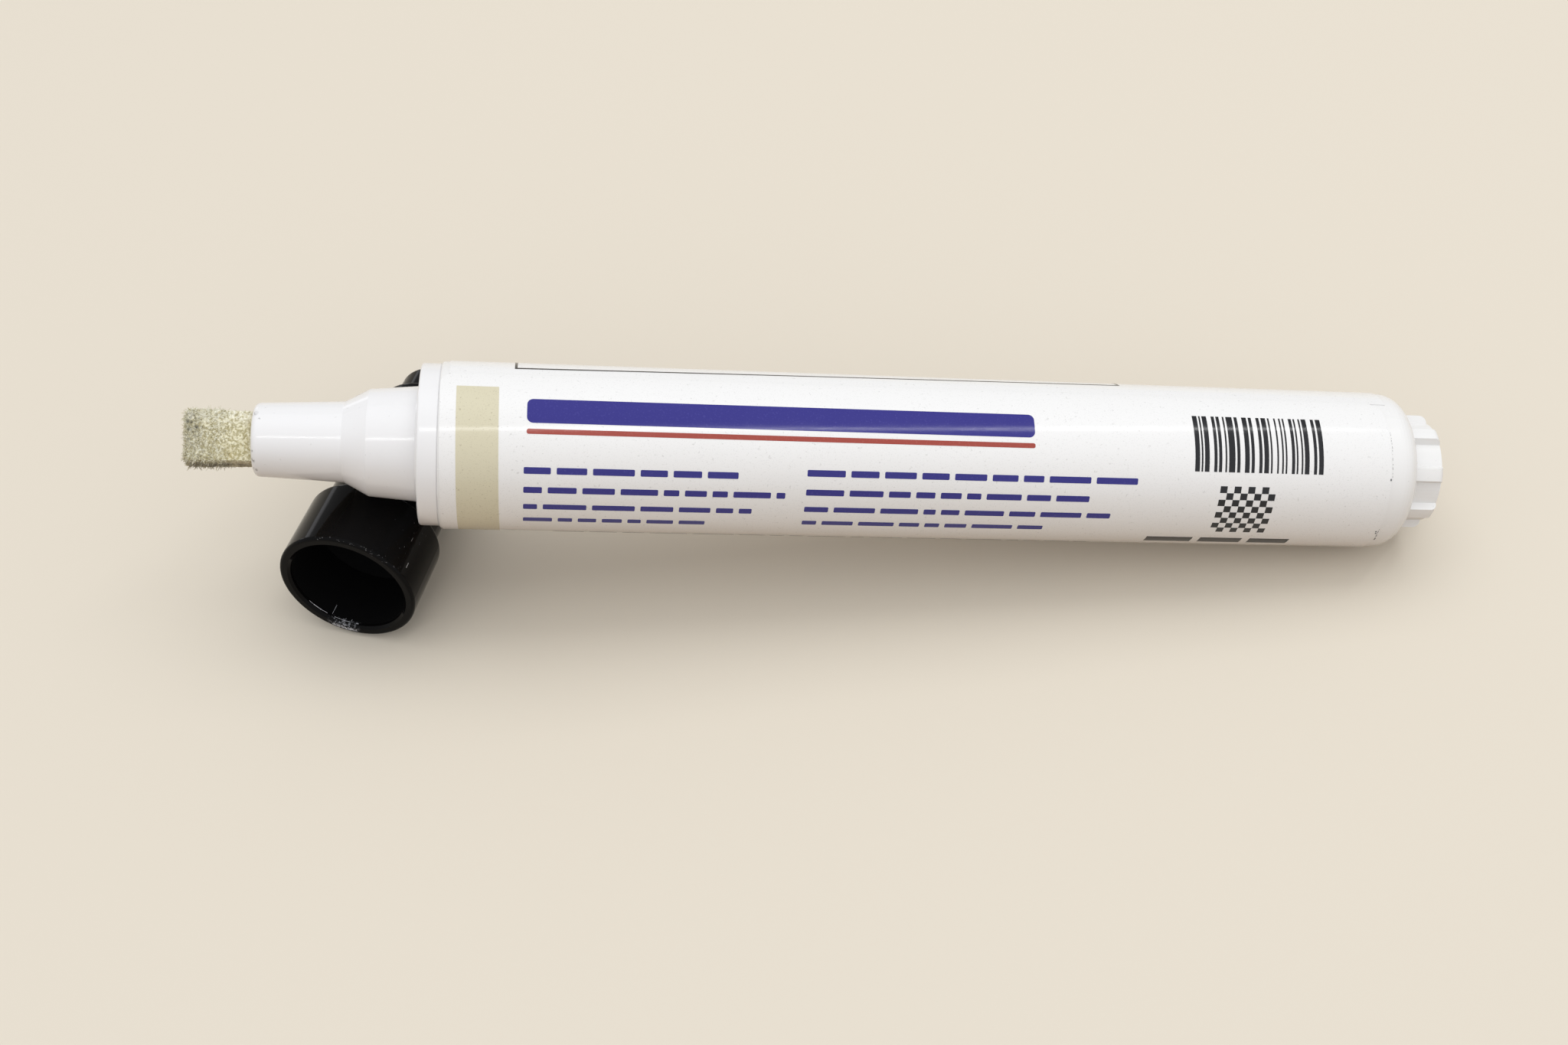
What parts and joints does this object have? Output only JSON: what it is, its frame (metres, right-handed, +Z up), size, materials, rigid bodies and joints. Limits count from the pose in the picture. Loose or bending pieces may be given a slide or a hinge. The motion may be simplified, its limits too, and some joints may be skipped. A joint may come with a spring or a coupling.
{
  "type": "valve-action felt marker",
  "caption": "Felt-nib touch-up marker for wood with a white barrel, wrap label, inner valve and fluted tail, lying propped on its own black cap.",
  "frame": {"origin": "on the surface that the marker and its cap lie on, under the middle of the whole", "axes": "+Z up, +X along the marker from the nib to the tail, -Y towards the cap's open mouth"},
  "size_m": [0.125, 0.0302, 0.0265],
  "materials": {
    "white_moulding": "satin white moulded plastic",
    "label_film": "satin printed film label",
    "felt": "pressed cream felt",
    "seal_rubber": "soft matte rubber",
    "valve_plastic": "plain natural plastic",
    "steel": "bright steel",
    "black_moulding": "glossy black moulded plastic, lightly scuffed"
  },
  "bodies": {
    "marker": {"barrel": "white_moulding", "label": "label_film", "nose_piece": "white_moulding", "valve_seat": "seal_rubber", "valve_cup": "valve_plastic", "valve_spring": "steel"},
    "plunger": {"nib": "felt", "valve_stem": "valve_plastic"},
    "ball": {"mixing_ball": "steel"},
    "loose_cap": {"cap": "black_moulding"}
  },
  "joints": [
    {"name": "nib_press", "type": "slide", "parent": "marker", "child": "plunger", "axis": [0.994, 0, -0.1091], "range_m": [0, 0.002], "stiffness_N_per_m": 600, "springref_m": -0.004, "deforming": ["valve_spring"]},
    {"name": "ball_roll", "type": "slide", "parent": "marker", "child": "ball", "axis": [-0.994, 0, 0.1091], "range_m": [0, 0.0769]},
    {"name": "cap_slide", "type": "slide", "parent": "marker", "child": "loose_cap", "axis": [-0.284, -0.9588, 0], "range_m": [0, 0.045]}
  ]
}
